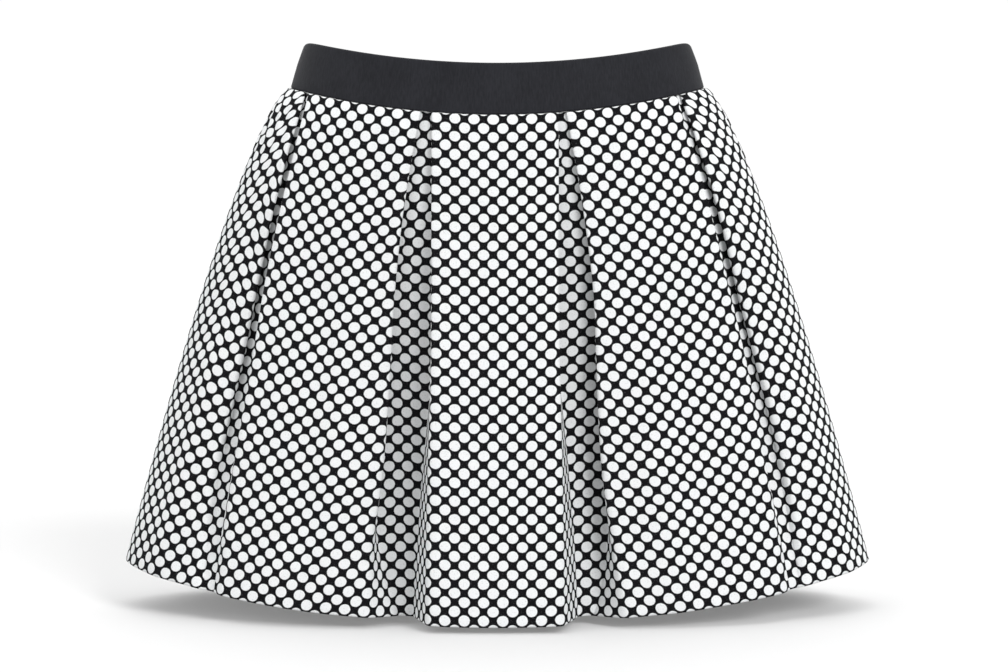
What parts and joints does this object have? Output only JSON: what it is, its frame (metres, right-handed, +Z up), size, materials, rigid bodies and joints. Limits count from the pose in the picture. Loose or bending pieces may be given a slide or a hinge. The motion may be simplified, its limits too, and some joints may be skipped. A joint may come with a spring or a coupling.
{
  "type": "a-line skirt with inverted pleats, held at the waist",
  "caption": "Filled-out A-line mini skirt with a plain waistband, inverted box pleats front and back and a concealed back zip with a hinged pull.",
  "frame": {"origin": "centre of the waist, level with the side ends of the seam between waistband and skirt, where the wearer holds the skirt up", "axes": "+Z up towards the waistband's top edge, -Y the front of the skirt, +X the wearer's left"},
  "size_m": [0.561, 0.277, 0.4171],
  "materials": {
    "dotted_cloth": "matt cloth, off-white dots of 8.6 mm packed on near black",
    "band_cloth": "plain smooth matt charcoal cloth",
    "zip_tape": "black woven tape",
    "zip_metal": "satin black lacquer"
  },
  "bodies": {
    "garment": {"skirt_front": "dotted_cloth", "skirt_back_left": "dotted_cloth", "skirt_back_right": "dotted_cloth", "waistband_front": "band_cloth", "waistband_back_left": "band_cloth", "waistband_back_right": "band_cloth", "zip_tape": "zip_tape", "zip_slider": "zip_metal"},
    "pull": {"zip_pull": "zip_metal"}
  },
  "joints": [
    {"name": "pull_hinge", "type": "hinge", "parent": "garment", "child": "pull", "pos_m": [0, 0.08744, 0.00988], "axis": [1, 0, 0], "range_deg": [0, 130]}
  ]
}
